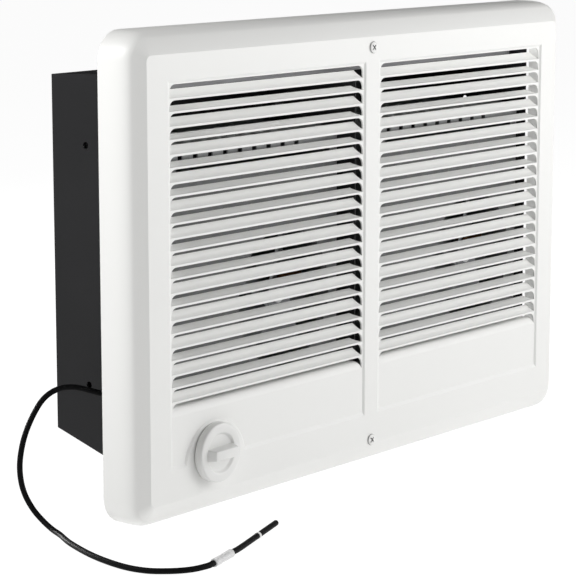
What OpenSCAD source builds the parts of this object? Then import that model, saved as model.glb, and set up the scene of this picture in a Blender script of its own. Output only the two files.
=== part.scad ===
// Recessed twin-fan wall heater.
// Frame: X right along the width, Y into the wall, Z up. The origin is the centre
// of the wall opening in the plane of the finished wall, and the front faces -Y.

/* [Wall can] */
// Width of the can, which fills the wall opening
can_w = 422; // [410:1:460]
// Height of the can at its open front
can_h = 260; // [256:1:290]
// Depth of the can into the wall
can_d = 70; // [68:1:90]
// Sheet thickness of the can
can_sheet = 1.2; // [0.8:0.1:1.6]
// Fall of the top wall from front to back
top_rake = 3.4; // [0:0.2:6]
// Rise of the bottom wall from front to back
bottom_rake = 21; // [10:1:22]
// Diameter of the stud screw holes in the side walls
stud_hole_d = 4.6; // [4:0.1:6]
// Distance between the two stud screw holes of a side
stud_hole_gap = 158; // [120:1:180]
// Depth of the stud screw holes behind the wall plane
stud_hole_y = 40; // [30:1:50]
// Height of the middle of the stud screw holes
stud_hole_z = 3; // [-6:1:6]
// How far the side walls reach forward into the cover
guard_d = 16.5; // [10:0.5:17]
// Height of the lip folded down from the top wall's front edge
can_lip_h = 11.5; // [8:0.5:14]

/* [Front cover] */
// How far the cover overlaps the wall on every side
cover_overlap = 29; // [26:1:40]
// Depth of the cover in front of the wall
cover_d = 31; // [30:1:36]
// Sheet thickness of the cover
cover_sheet = 1.2; // [0.8:0.1:1.4]
// Corner radius of the cover's outline
cover_corner_r = 19; // [12:1:24]
// Depth of the straight side wall of the cover
cover_side_d = 10.5; // [8:0.5:16]
// Width of the rounded and sloped edge at the sides
edge_side_w = 11.6; // [8:0.1:14]
// Width of the rounded and sloped edge at the top and bottom
edge_top_w = 15; // [10:0.5:16]
// Corner radius of the flat face
face_corner_r = 4; // [2:0.5:8]

/* [Grille] */
// Width of the flush bar between the two grille panels
centre_bar_w = 14.7; // [10:0.1:20]
// Distance from the side edges of the flat face to the panels
panel_margin = 18.9; // [16:0.1:26]
// Distance from the top edge of the flat face to the panels
panel_top_margin = 16.8; // [12:0.1:18]
// Distance from the bottom edge of the flat face to the panels
panel_bottom_margin = 21; // [14:0.5:26]
// Depth of the pressed panels
panel_recess = 1; // [0.8:0.1:3]
// Width of the panels' bevelled edge at the top and the sides
panel_bevel = 1.6; // [1:0.1:3]
// Width of the panels' bevelled edge at the bottom
panel_bottom_bevel = 2.6; // [1:0.1:4]
// Number of slots in a panel
slot_count = 24; // [16:1:24]
// Distance between two slots
slot_pitch = 8.85; // [8.6:0.05:8.9]
// How much closer the slot above a flat slat is
slot_shift = 0.6; // [0:0.1:0.8]
// Distance from the panels' top edge to the uppermost slot
slot_top_margin = 2.4; // [2:0.1:4]
// Height of the first slot
first_slot_h = 8.7; // [7:0.1:9.6]
// How much lower the last slot reaches
last_slot_drop = 1.6; // [0:0.1:4]
// Distance from a slot's ends to the panel's side edges
slot_margin = 2.5; // [2:0.5:12]
// Corner radius at the top of a slot
slot_r = 5; // [2:0.2:5.4]
// Height of the lip in front of a slat
lip_h = 1.4; // [1:0.1:2]
// Sheet thickness of a slat
slat_sheet = 0.9; // [0.6:0.1:1.2]
// Depth of a steep slat
steep_d = 4.5; // [3:0.5:6]
// Rise of a steep slat
steep_h = 5.4; // [4:0.2:6]
// Depth of a flat slat
flat_d = 6; // [4:0.5:7]
// Rise of a flat slat
flat_h = 3; // [1:0.2:4]
// Depth of the rounded slat under the last slot
last_d = 6.5; // [4:0.5:7]
// Rise of the rounded slat under the last slot
last_h = 6.2; // [4:0.2:7]
// How much shorter a slat's back edge is at each end, for each mm of depth
slat_taper = 1.1; // [0.4:0.1:2.4]

/* [Thermostat and knob] */
// Distance of the knob from the left panel's side edge
knob_from_edge = 41.5; // [40:0.5:50]
// Height of the knob over the panels' bottom edge
knob_rise = 5.3; // [2:0.1:8]
// Diameter of the knob
knob_d = 39.5; // [34:0.5:46]
// Thickness of the knob's disc
knob_t = 6; // [5:0.5:8]
// Height of the grip over the disc
grip_h = 5.5; // [4:0.5:9]
// Width of the grip
grip_w = 8.5; // [7:0.5:12]
// Length of the grip where it meets the disc
grip_len = 27; // [22:0.5:30]
// Diameter of the flush boss above the knob
boss_d = 60; // [50:1:62]
// How far the boss's centre is below the knob's
boss_drop = 8.8; // [0:0.1:10]
// Diameter of the thermostat's shaft
shaft_d = 6; // [5:0.5:6.5]
// Gap between the knob and the cover
knob_gap = 0.6; // [0.4:0.1:1]
// Width of the thermostat's body
stat_w = 40; // [34:1:44]
// Height of the thermostat's body
stat_h = 25; // [24:1:30]

/* [Fan modules] */
// Gap for the wiring between the can's left wall and the left module
wiring_gap = 19.8; // [18:0.1:24]
// Gap between the two modules
module_gap = 47; // [42:1:52]
// Gap between the right module and the can's right wall
side_gap = 4.8; // [3:0.1:8]
// Height of the top of a module
deck_top_z = 82; // [68:1:86]
// Height of the bottom of a module's front plate
deck_bottom_z = -119; // [-120:1:-112]
// Place of the front plate in front of the wall plane
deck_front = 12; // [11:0.5:13]
// Sheet thickness of the chassis
deck_sheet = 1; // [0.8:0.1:1.2]
// Fan centre from the module's right edge
fan_from_right = 57; // [55:1:62]
// Height of the fan centre
fan_z = -30; // [-34:1:-26]
// Diameter of the round fan opening
fan_open_d = 96; // [90:1:98]
// Diameter of the fan
fan_d = 88; // [70:1:88]
// Number of fan blades
blade_count = 5; // [4:1:6]
// Pitch angle of a blade
blade_pitch = 32; // [20:1:36]
// Diameter of the fan's hub
hub_d = 22; // [18:1:26]
// Length of the fan's hub
hub_len = 14; // [12:1:16]
// Diameter of the motor shaft
motor_shaft_d = 5; // [4:0.5:6]
// Distance between the vent holes in the top of a module
vent_pitch = 14.7; // [12:0.1:16]
// Width of a vent hole
vent_w = 6; // [4:0.5:8]

/* [Heating elements] */
// Diameter of the element's sheath tube
element_d = 8; // [6:0.5:9]
// Height of the elements
element_z = 50; // [46:1:54]
// Distance between the two legs of an element
element_leg_gap = 28; // [24:1:30]
// Height and depth of a fin round a leg
fin_size = 22; // [18:1:24]
// Distance between two fins
fin_pitch = 6; // [5:0.5:10]

/* [Supply lead] */
// Diameter of the lead
lead_d = 3.8; // [3:0.1:4]

/* [Clearances] */
// Running clearance on the radius of a shaft in its bearing
running_gap = 0.04; // [0.02:0.01:0.08]
// Air gap on the radius between rotor and stator
rotor_gap = 0.5; // [0.4:0.1:0.8]
// Clearance on the radius of a screw hole
screw_gap = 0.25; // [0.1:0.05:0.5]

/* [Hidden] */
$fn = 48;
eps = 0.01;

// Cover
cover_w = can_w + 2 * cover_overlap;
cover_h = can_h + 2 * cover_overlap;
face_y = -cover_d;
floor_y = face_y + panel_recess;
face_w = cover_w - 2 * edge_side_w;
face_h = cover_h - 2 * edge_top_w;
panel_w = (face_w - centre_bar_w) / 2 - panel_margin;
panel_x = (centre_bar_w + panel_w) / 2;
slot_w = panel_w - 2 * slot_margin;
knob_x = knob_from_edge - panel_x - panel_w / 2;
panel_top_z = face_h / 2 - panel_top_margin;
panel_bottom_z = panel_bottom_margin - face_h / 2;
slot_top_z = panel_top_z - slot_top_margin;
knob_z = panel_bottom_z + knob_rise;
panel_h = panel_top_z - panel_bottom_z;
panel_z = (panel_top_z + panel_bottom_z) / 2;
boss_back = floor_y + cover_sheet;
// Rounded shoulder and sloped band: share of the depth, share of the width
edge_profile = [[0, 0], [0.28, 0.04], [0.53, 0.14], [0.75, 0.32], [1, 1]];
// Screws
screw_r = 1.75;
screw_head_r = 3.4;
screw_head_h = 2.2;
screw_end = 2;
cover_screw_r = 4.1;
cover_screw_h = 1.4;
cover_screw_zs = [panel_top_z + 0.56 * panel_top_margin, panel_bottom_z - 0.88 * panel_bottom_margin];
// Ears of the can that the cover's screws reach
ear_w = 40;
ear_h = 22;
// Can seen from the side, outside and inside
rake_wall = can_sheet / cos(atan2(bottom_rake, can_d));
function can_top(y) = can_h / 2 - top_rake * y / can_d;
function can_bottom(y) = -can_h / 2 + bottom_rake * y / can_d;
can_inner_x = can_w / 2 - can_sheet;
guard_r = 5;
can_back_y = can_d - can_sheet;
// Fan modules, left is 0 and right is 1
deck_y = -deck_front;
deck_back_y = deck_y + deck_sheet;
deck_w = (2 * can_inner_x - wiring_gap - module_gap - side_gap) / 2;
function deck_x(i) = wiring_gap - can_inner_x + i * (deck_w + module_gap);
function fan_x(i) = deck_x(i) + deck_w - fan_from_right;
deck_side_bottom_z = can_bottom(can_back_y) + rake_wall + 4;
collar_d = 6;
tab_w = 14;
tab_h = 16;
foot_xs = [tab_w / 2, deck_w - tab_w / 2];
foot_zs = [deck_side_bottom_z + tab_h, deck_top_z - tab_h];
vent_ys = [-6, 14, 34];
vent_d = 14;
notch_w = 4.5;
notch_h = 3.4;
notch_z = deck_top_z - 9.4;
inlet_h = 8;
inlet_z = deck_top_z - 20.5;
inlet_margin = 8;
vent_margin = 10;
vent_end_margin = 27;
vent_count = floor((deck_w - vent_margin - vent_end_margin) / vent_pitch);
// Divider between the modules
divider_x = (deck_x(0) + deck_w + deck_x(1)) / 2;
divider_front_y = deck_y + 2;
divider_top_z = can_h / 2 - can_lip_h - 1.5;
divider_zs = [deck_side_bottom_z + tab_h, divider_top_z - tab_h];
ground_x = (deck_x(0) - can_inner_x) / 2;
ground_z = -60;
// Motors
bridge_y = 34;
bridge_h = 40;
bridge_sheet = 1.2;
bridge_tab = 12;
stack_len = 16;
stack_left = 18;
stack_right = 42;
stack_h = 46;
limb_x = 30;
window_x = 18;
window_h = 26;
coil_wall = 8;
coil_h = window_h - 1;
coil_gap = 1;
rotor_r = 11;
rotor_end_gap = 1;
bearing_r = 6;
bearing_flange_r = 9;
front_bar_y = 12;
front_bar_d = 3;
front_bar_h = 14;
hub_y = -6;
shaft_back = 41;
clip_t = 1;
clip_r = 5;
blade_t = 1.4;
blade_chord = 30;
// Elements
element_y = 30;
element_bend_x = deck_w - 22;
element_tail = 6;
fin_t = 0.8;
fin_start = 16;
insulator_r = element_d / 2 + 3;
insulator_neck_r = element_d / 2 + 1.5;
limit_r = 8;
limit_h = 7;
limit_y = 20;
limit_margin = 4;
// Thermostat
stat_front_y = -26;
stat_nose_r = 4.75;
stat_nose_y = -29;
stat_ear_h = 8;
stat_ear_t = 2;
stat_screw_x = 12;
stat_screw_z = knob_z + (stat_h + stat_ear_h) / 2;
shaft_in_y = -20;
knob_back_y = face_y - knob_gap;
knob_face_y = knob_back_y - knob_t;
shaft_tip_y = knob_face_y + 1.6;
shaft_flat = 0.8;
knob_dish_d = 1.6;
// Leads
floor_z = -cover_h / 2;
lead_r = lead_d / 2;
lead_z = floor_z + lead_r;
sleeve_z = lead_z + 0.9;
band_z = lead_z + 0.3;
bush_y = 18;
bush_z = -78;
bush_r = 4.4;
bush_flange_r = 6;
bush_flange_t = 2;
bush_out_x = -can_w / 2 - bush_flange_t;
bush_in_x = -can_inner_x + bush_flange_t;
lead_route = [
    [bush_out_x, bush_y, bush_z], [-220, 19.1, -77.1], [-228, 22.6, -74.3], [-236.5, 28.2, -71.5],
    [-245.5, 33.6, -71.8], [-255, 37, -76.6], [-264, 38, -86], [-272.3, 38, -99], [-276.5, 38, -113],
    [-276.5, 38, -125], [-274.3, 36.8, -136], [-271, 33, -146], [-269, 26, -153.1],
    [-270.2, 16.5, lead_z + 0.4], [-275, 4.5, lead_z], [-285, -15.5, lead_z], [-295, -45, lead_z],
    [-299.2, -72, lead_z], [-296.5, -90, lead_z], [-288.5, -102.7, lead_z + 0.3], [-279.7, -110.3, lead_z + 0.6],
    [-270.5, -113.6, sleeve_z], [-262, -113.13, sleeve_z], [-238, -106.87, sleeve_z],
    [-226, -103.4, lead_z + 0.6], [-200, -94.3, band_z], [-167.5, -83.4, band_z]];
tail_angle = atan2(10.9, 32.5);
sleeve_at = [-250, -110, sleeve_z];
sleeve_angle = atan2(6.26, 24);
sleeve_gap = 0.1;
sleeve_len = 24;
sleeve_r = lead_r + 0.9;
band_at = [-197, -93.3, band_z];
band_len = 2.4;
band_r = lead_r + 0.3;
wire_r = 1.5;
wire_x = deck_x(0) - wiring_gap / 2;
stat_x = knob_x - stat_w / 2;
inner_route = [
    [bush_in_x, bush_y, bush_z], [wire_x - 3, bush_y - 1, bush_z - 1], [wire_x + 1, 10, bush_z - 6],
    [wire_x + 4, 0, bush_z - 14], [wire_x + 5, -10, bush_z - 23], [stat_x - 5, -17, knob_z + 7.5],
    [stat_x, -19, knob_z + 5.5]];
left_link_route = [
    [knob_x - 12, -20, knob_z + stat_h / 2], [stat_x + 6.5, -20, knob_z + 23.5],
    [stat_x - 2.5, -17, knob_z + 31.5], [wire_x + 2, -6, knob_z + 41.5], [wire_x - 1, 6, -50],
    [wire_x - 2, 12, -10], [wire_x - 3, 15, element_z - 25], [wire_x - 3, 16, element_z - 8],
    [wire_x, 16, element_z - 1], [deck_x(0) - element_tail, 16, element_z]];
pass_y = 60;
pass_z = deck_top_z + 12;
right_link_route = [
    [deck_x(0) - element_tail, 44, element_z], [wire_x, 45, element_z + 1],
    [wire_x - 4, 52, element_z + 10], [wire_x - 3, 58, deck_top_z + 2], [deck_x(0) - 4, pass_y, pass_z - 1],
    [deck_x(0) + 20, pass_y, pass_z], [deck_x(0) + 100, pass_y, pass_z],
    [divider_x - 15.5, pass_y, pass_z], [divider_x, pass_y, pass_z], [divider_x + 7.5, 58, pass_z - 2],
    [deck_x(1) - 12, 50, deck_top_z + 2], [deck_x(1) - 12, 32, element_z + 10],
    [deck_x(1) - 11, 18, element_z + 1], [deck_x(1) - element_tail, 16, element_z]];

// Colours
dark_steel = [0.17, 0.17, 0.18];
white_paint = [0.94, 0.94, 0.93];
zinc = [0.66, 0.68, 0.7];
bright_steel = [0.75, 0.75, 0.76];
black_plastic = [0.07, 0.07, 0.07];
copper = [0.62, 0.3, 0.13];
ceramic = [0.9, 0.88, 0.82];

// ---------- helpers ----------
module box(a, b) {
    translate(a)
        cube(b - a);
}

// A cylinder along Y, from y0 to y1
module rod(x, z, r, y0, y1) {
    translate([x, y0, z])
        rotate([-90, 0, 0])
            cylinder(r = r, h = y1 - y0);
}

// A cylinder along X, from x0 to x1
module rod_x(y, z, r, x0, x1) {
    translate([x0, y, z])
        rotate([0, 90, 0])
            cylinder(r = r, h = x1 - x0);
}

// An outline in X and Z, made solid from y0 to y1
module plate(y0, y1) {
    translate([0, y1, 0])
        rotate([90, 0, 0])
            linear_extrude(y1 - y0)
                children();
}

// An outline in Y and Z, made solid from x0 to x1
module rail(x0, x1) {
    translate([x0, 0, 0])
        rotate([90, 0, 90])
            linear_extrude(x1 - x0)
                children();
}

module round_rect(w, h, r) {
    for (x = [-1, 1], z = [-1, 1])
        translate([x * (w / 2 - r), z * (h / 2 - r)])
            circle(r);
    square([w - 2 * r, h], center = true);
    square([w, h - 2 * r], center = true);
}

// A pan head screw that points along +Y, with its head seated at y
module pan_screw(x, z, y, length, r = screw_head_r, h = screw_head_h) {
    difference() {
        union() {
            rod(x, z, screw_r, y - 0.5, y + length);
            translate([x, y, z])
                rotate([90, 0, 0])
                    rotate_extrude()
                        polygon([[0, 0], [r, 0], [r, 0.36 * h], [0.8 * r, 0.77 * h], [0.4 * r, h], [0, h]]);
        }
        for (a = [0, 90])
            translate([x, y - h, z])
                rotate([0, a, 0])
                    cube([1.1 * r, 1.1 * h, 0.2 * r], center = true);
    }
}

// A round tube swept along a smooth curve through points
function spline(a, b, c, d, t) =
    0.5 * (2 * b + (c - a) * t + (2 * a - 5 * b + 4 * c - d) * t * t + (3 * b - a - 3 * c + d) * t * t * t);
function smooth(p, n) = let (m = len(p) - 1)
    concat([for (i = [0:m - 1], k = [0:n - 1])
        spline(p[max(i - 1, 0)], p[i], p[i + 1], p[min(i + 2, m)], k / n)], [p[m]]);
function unit(v) = v / norm(v);
function square_to(t, u) = unit(u - t * (t * u));
function tangents(p) = [for (i = [0:len(p) - 1]) unit(p[min(i + 1, len(p) - 1)] - p[max(i - 1, 0)])];
function sides(t) = [for (i = 0, u = square_to(t[0], [0, 1, 0]); i < len(t);
    i = i + 1, u = i < len(t) ? square_to(t[i], u) : u) u];

module swept_tube(p, r, n, first, last) {
    m = len(p) - 1;
    t = [for (i = [0:m]) i == 0 ? first : i == m ? last : tangents(p)[i]];
    s = sides(t);
    rings = [for (i = [0:m], k = [0:n - 1])
        p[i] + r * (s[i] * cos(360 * k / n) + cross(t[i], s[i]) * sin(360 * k / n))];
    walls = [for (i = [0:m - 1], k = [0:n - 1]) each let (a = i * n + k, b = i * n + (k + 1) % n)
        [[a, a + n, b], [b, a + n, b + n]]];
    caps = [for (k = [1:n - 2]) each let (e = m * n) [[0, k, k + 1], [e, e + k + 1, e + k]]];
    polyhedron(rings, concat(walls, caps));
}

// ---------- wall can ----------
module can_outline(wall, slope, front) {
    back = can_d - wall;
    polygon([[front, can_top(front) - wall], [back, can_top(back) - wall],
        [back, can_bottom(back) + slope], [front, can_bottom(front) + slope]]);
}

module ear(side) {
    z = side * can_h / 2;
    box([-ear_w / 2, -can_sheet, min(z - side * can_sheet, z + side * ear_h)],
        [ear_w / 2, 0, max(z - side * can_sheet, z + side * ear_h)]);
}

module wall_can() {
    color(dark_steel)
    difference() {
        union() {
            difference() {
                rail(-can_w / 2, can_w / 2)
                    can_outline(0, 0, 0);
                rail(-can_inner_x, can_inner_x)
                    can_outline(can_sheet, rake_wall, -1);
            }
            ear(1);
            ear(-1);
            for (x = [-can_w / 2, can_inner_x])
                box([x, -guard_d, guard_r - can_h / 2], [x + can_sheet, 0, can_h / 2 - guard_r]);
            box([-can_w / 2, -can_sheet, can_h / 2 - can_lip_h], [can_w / 2, 0, can_h / 2]);
        }
        for (x = [-1, 1], z = [-0.5, 0.5])
            rod_x(stud_hole_y, stud_hole_z + z * stud_hole_gap, stud_hole_d / 2,
                x * can_w / 2 - 2, x * can_w / 2 + 2);
        rod_x(bush_y, bush_z, bush_r, -can_w / 2 - 1, 1 - can_inner_x);
        for (z = cover_screw_zs)
            rod(0, z, screw_r, -2, 1);
        for (i = [0, 1], x = foot_xs, z = foot_zs)
            rod(deck_x(i) + x, z, screw_r, can_back_y - 1, can_d + 1);
        for (z = divider_zs)
            rod(divider_x + tab_w / 2, z, screw_r, can_back_y - 1, can_d + 1);
        rod(ground_x, ground_z, screw_r, can_back_y - 1, can_d + 1);
    }
}

// ---------- front cover ----------
module dish(inset, back) {
    r = cover_corner_r - inset;
    side_y = -cover_side_d;
    hull() {
        plate(side_y, back)
            round_rect(cover_w - 2 * inset, cover_h - 2 * inset, r);
        for (e = edge_profile) {
            y = side_y + e[0] * (face_y + inset - side_y);
            corner = max(r * (1 - e[1]), face_corner_r);
            plate(y, y + eps)
                round_rect(cover_w - 2 * inset - 2 * e[1] * edge_side_w,
                    cover_h - 2 * inset - 2 * e[1] * edge_top_w, corner);
        }
    }
}

module panel_pocket() {
    hull() {
        plate(face_y - 1, face_y)
            square([panel_w, panel_h], center = true);
        plate(floor_y - eps, floor_y)
            translate([panel_bevel - panel_w / 2, panel_bottom_bevel - panel_h / 2])
                square([panel_w - 2 * panel_bevel, panel_h - panel_bevel - panel_bottom_bevel]);
    }
}

// Slot 0 is the top one, and odd slots have a flat slat
function slot_bottom(k) = slot_top_z - first_slot_h - slot_pitch * k + (k % 2) * slot_shift
    - (k == slot_count - 1 ? last_slot_drop : 0);
function slot_top(k) = k == 0 ? slot_top_z : slot_bottom(k - 1) - lip_h;

module slot_outline(k) {
    h = slot_top(k) - slot_bottom(k);
    translate([-slot_w / 2, slot_bottom(k)])
        intersection() {
            square([slot_w, h]);
            union() {
                square([slot_w, h - slot_r]);
                translate([slot_r, 0])
                    square([slot_w - 2 * slot_r, h]);
                for (x = [slot_r, slot_w - slot_r])
                    translate([x, h - slot_r])
                        circle(slot_r, $fn = 24);
            }
        }
}

module slat_outline(k) {
    d = k % 2 == 0 ? steep_d : flat_d;
    h = k % 2 == 0 ? steep_h : flat_h;
    under = slat_sheet * [h, -d] / norm([d, h]);
    front = [floor_y, slot_bottom(k)];
    back = front + [d, h];
    polygon([front, back, back + under, front + under]);
}

// The slat under the last slot curves back from the panel
module last_slat() {
    curve = [[0, 0], [0.07, 0.3], [0.26, 0.62], [0.58, 0.88], [1, 1]];
    front = [floor_y, slot_bottom(slot_count - 1)];
    polygon(concat([for (c = curve) front + [c[0] * last_d, c[1] * last_h]],
        [for (i = [4:-1:0]) front + [slat_sheet + curve[i][0] * (last_d - slat_sheet),
            curve[i][1] * (last_h - slat_sheet) - (i == 0 ? slat_sheet : 0)]]));
}

// The slats' ends run in from the lip to a shorter back edge
module slat_ends() {
    deep = max(steep_d, flat_d, last_d) + 2;
    translate([0, 0, panel_bottom_z])
        linear_extrude(panel_h)
            polygon([[-slot_w / 2, floor_y], [slot_w / 2, floor_y],
                [slot_w / 2 - slat_taper * deep, floor_y + deep],
                [-slot_w / 2 + slat_taper * deep, floor_y + deep]]);
}

module front_cover() {
    color(white_paint)
    difference() {
        union() {
            difference() {
                union() {
                    difference() {
                        dish(0, 0);
                        dish(cover_sheet, 1);
                    }
                    for (x = [-panel_x, panel_x])
                        translate([x, 0, panel_z])
                            plate(face_y + cover_sheet / 2, boss_back)
                                square([panel_w + cover_sheet, panel_h + cover_sheet], center = true);
                }
                for (x = [-panel_x, panel_x]) {
                    translate([x, 0, panel_z])
                        panel_pocket();
                    translate([x, 0, 0])
                        plate(face_y, boss_back + 1)
                            for (k = [0:slot_count - 1])
                                slot_outline(k);
                }
            }
            for (x = [-panel_x, panel_x])
                translate([x, 0, 0])
                    intersection() {
                        rail(-slot_w / 2, slot_w / 2) {
                            for (k = [0:slot_count - 2])
                                slat_outline(k);
                            last_slat();
                        }
                        slat_ends();
                    }
            intersection() {
                rod(knob_x + 2, knob_z - boss_drop, boss_d / 2, face_y, boss_back);
                box([-face_w / 2, face_y - 1, panel_bottom_z - 1], [0, boss_back + 1, panel_top_z]);
            }
        }
        rod(knob_x, knob_z, stat_nose_r + 1, face_y - 1, boss_back + 1);
        for (z = cover_screw_zs)
            rod(0, z, screw_r + screw_gap, face_y - 1, face_y + 4);
    }
}

module cover_screws() {
    color(white_paint)
    for (z = cover_screw_zs)
        pan_screw(0, z, face_y, -face_y + screw_end, cover_screw_r, cover_screw_h);
}

// ---------- fan modules ----------
module fan_deck(i) {
    x0 = deck_x(i);
    x1 = x0 + deck_w;
    color(zinc)
    difference() {
        union() {
            box([x0, deck_y, deck_bottom_z], [x1, deck_back_y, deck_top_z]);
            box([x0, deck_y, deck_top_z - deck_sheet], [x1, can_back_y - 2, deck_top_z]);
            for (x = [x0, x1 - deck_sheet])
                box([x, deck_y, deck_side_bottom_z], [x + deck_sheet, can_back_y, deck_top_z]);
            for (x = [x0, x1 - tab_w], z = foot_zs)
                box([x, can_back_y - deck_sheet, z - tab_h / 2], [x + tab_w, can_back_y, z + tab_h / 2]);
            rod(fan_x(i), fan_z, fan_open_d / 2 + deck_sheet, deck_y, deck_y + collar_d);
        }
        rod(fan_x(i), fan_z, fan_open_d / 2, deck_y - 1, deck_y + collar_d + 1);
        for (k = [0:vent_count - 1], y = vent_ys)
            translate([x0 + vent_margin + k * vent_pitch, y, deck_top_z - 2])
                cube([vent_w, vent_d, 3]);
        for (k = [0:vent_count - 1])
            translate([x0 + vent_margin + k * vent_pitch, deck_y - 1, notch_z])
                cube([notch_w, deck_sheet + 2, notch_h]);
        box([x0 + inlet_margin, deck_y - 1, inlet_z], [x1 - inlet_margin, deck_back_y + 1, inlet_z + inlet_h]);
        for (x = foot_xs, z = foot_zs)
            rod(x0 + x, z, screw_r + screw_gap, can_back_y - 2, can_back_y + 1);
        for (y = element_leg_ys)
            rod_x(y, element_z, insulator_neck_r, x0 - 1, x0 + 2);
        if (i == 0)
            for (x = [-stat_screw_x, stat_screw_x])
                rod(knob_x + x, stat_screw_z, screw_r, deck_y - 1, deck_back_y + 1);
    }
}

module deck_screws() {
    color(bright_steel) {
        for (i = [0, 1], x = foot_xs, z = foot_zs)
            pan_screw(deck_x(i) + x, z, can_back_y - deck_sheet, deck_sheet + can_sheet + screw_end);
        for (z = divider_zs)
            pan_screw(divider_x + tab_w / 2, z, can_back_y - deck_sheet, deck_sheet + can_sheet + screw_end);
    }
}

module divider_plate() {
    color(zinc)
    difference() {
        union() {
            box([divider_x - deck_sheet / 2, divider_front_y, deck_side_bottom_z],
                [divider_x + deck_sheet / 2, can_back_y, divider_top_z]);
            box([divider_x, can_back_y - deck_sheet, deck_side_bottom_z],
                [divider_x + tab_w, can_back_y, divider_top_z]);
        }
        for (z = divider_zs)
            rod(divider_x + tab_w / 2, z, screw_r + screw_gap, can_back_y - 2, can_back_y + 1);
        rod_x(pass_y, pass_z, 3 * wire_r, divider_x - 2, divider_x + 2);
    }
}

// ---------- motors ----------
module motor_bridge(i) {
    x0 = deck_x(i) + deck_sheet;
    x1 = deck_x(i) + deck_w - deck_sheet;
    color(zinc)
    difference() {
        union() {
            box([x0, bridge_y, fan_z - bridge_h / 2], [x1, bridge_y + bridge_sheet, fan_z + bridge_h / 2]);
            for (x = [x0, x1 - bridge_sheet])
                box([x, bridge_y, fan_z - bridge_h / 2],
                    [x + bridge_sheet, bridge_y + bridge_tab, fan_z + bridge_h / 2]);
        }
        rod(fan_x(i), fan_z, bearing_r, bridge_y - 1, bridge_y + 3);
        box([fan_x(i) + window_x, bridge_y - 1, fan_z - window_h / 2],
            [fan_x(i) + stack_right + coil_wall + coil_gap, bridge_y + 3, fan_z + window_h / 2]);
    }
}

module rear_bearing(i) {
    color(zinc)
    difference() {
        union() {
            rod(fan_x(i), fan_z, bearing_r, bridge_y, bridge_y + 5);
            rod(fan_x(i), fan_z, bearing_flange_r, bridge_y + bridge_sheet, bridge_y + bridge_sheet + 1.5);
        }
        rod(fan_x(i), fan_z, motor_shaft_d / 2 + running_gap, bridge_y - 1, bridge_y + 6);
    }
}

module stator(i) {
    x = fan_x(i);
    color(bright_steel)
    difference() {
        box([x - stack_left, bridge_y - stack_len, fan_z - stack_h / 2],
            [x + stack_right, bridge_y, fan_z + stack_h / 2]);
        rod(x, fan_z, rotor_r + rotor_gap, bridge_y - stack_len - 1, bridge_y + 1);
        box([x + window_x, bridge_y - stack_len - 1, fan_z - window_h / 2],
            [x + limb_x, bridge_y + 1, fan_z + window_h / 2]);
    }
}

module motor_coil(i) {
    limb_w = stack_right - limb_x;
    cx = fan_x(i) + limb_x + limb_w / 2;
    cy = bridge_y - stack_len / 2;
    flange_t = 1.5;
    color(copper)
    translate([cx, cy, fan_z])
        difference() {
            union() {
                translate([0, 0, -coil_h / 2])
                    linear_extrude(coil_h)
                        round_rect(limb_w + 2 * coil_wall - 2, stack_len + 2 * coil_wall - 2, 4);
                for (z = [-coil_h / 2, coil_h / 2 - flange_t])
                    translate([0, 0, z])
                        linear_extrude(flange_t)
                            round_rect(limb_w + 2 * coil_wall, stack_len + 2 * coil_wall, 1);
            }
            cube([limb_w, stack_len, coil_h + 2], center = true);
        }
}

module front_bearing(i) {
    x = fan_x(i);
    stack_y = bridge_y - stack_len;
    color(zinc)
    difference() {
        union() {
            box([x - stack_left + 1, front_bar_y, fan_z - front_bar_h / 2],
                [x + stack_left - 1, front_bar_y + front_bar_d, fan_z + front_bar_h / 2]);
            for (s = [-1, 1])
                box([x + s * (stack_left - 3) - 2, front_bar_y, fan_z - front_bar_h / 2],
                    [x + s * (stack_left - 3) + 2, stack_y, fan_z + front_bar_h / 2]);
            rod(x, fan_z, bearing_r, front_bar_y - 2, front_bar_y + front_bar_d);
        }
        rod(x, fan_z, motor_shaft_d / 2 + running_gap, front_bar_y - 3, front_bar_y + front_bar_d + 1);
    }
}

module rotor(i) {
    color(bright_steel)
    difference() {
        rod(fan_x(i), fan_z, rotor_r, bridge_y - stack_len + rotor_end_gap, bridge_y - rotor_end_gap);
        rod(fan_x(i), fan_z, motor_shaft_d / 2, bridge_y - stack_len, bridge_y);
    }
}

module motor_shaft(i) {
    color(bright_steel)
    rod(fan_x(i), fan_z, motor_shaft_d / 2, hub_y - 2, shaft_back);
}

module fan(i) {
    color(bright_steel)
    translate([fan_x(i), hub_y + hub_len / 2, fan_z])
        rotate([-90, 0, 0])
            difference() {
                union() {
                    cylinder(r = hub_d / 2, h = hub_len, center = true);
                    for (b = [0:blade_count - 1])
                        intersection() {
                            cylinder(r = fan_d / 2, h = hub_len - 1, center = true);
                            rotate([0, 0, b * 360 / blade_count])
                                translate([fan_d / 4 + 2, 0, 0])
                                    rotate([blade_pitch, 0, 0])
                                        cube([fan_d / 2, blade_chord, blade_t], center = true);
                        }
                }
                cylinder(r = motor_shaft_d / 2, h = hub_len + 2, center = true);
            }
}

module fan_clip(i) {
    color(bright_steel)
    difference() {
        rod(fan_x(i), fan_z, clip_r, hub_y - clip_t, hub_y);
        rod(fan_x(i), fan_z, motor_shaft_d / 2, hub_y - 2, hub_y + 1);
    }
}

// ---------- heating elements ----------
element_leg_ys = [element_y - element_leg_gap / 2, element_y + element_leg_gap / 2];

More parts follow.
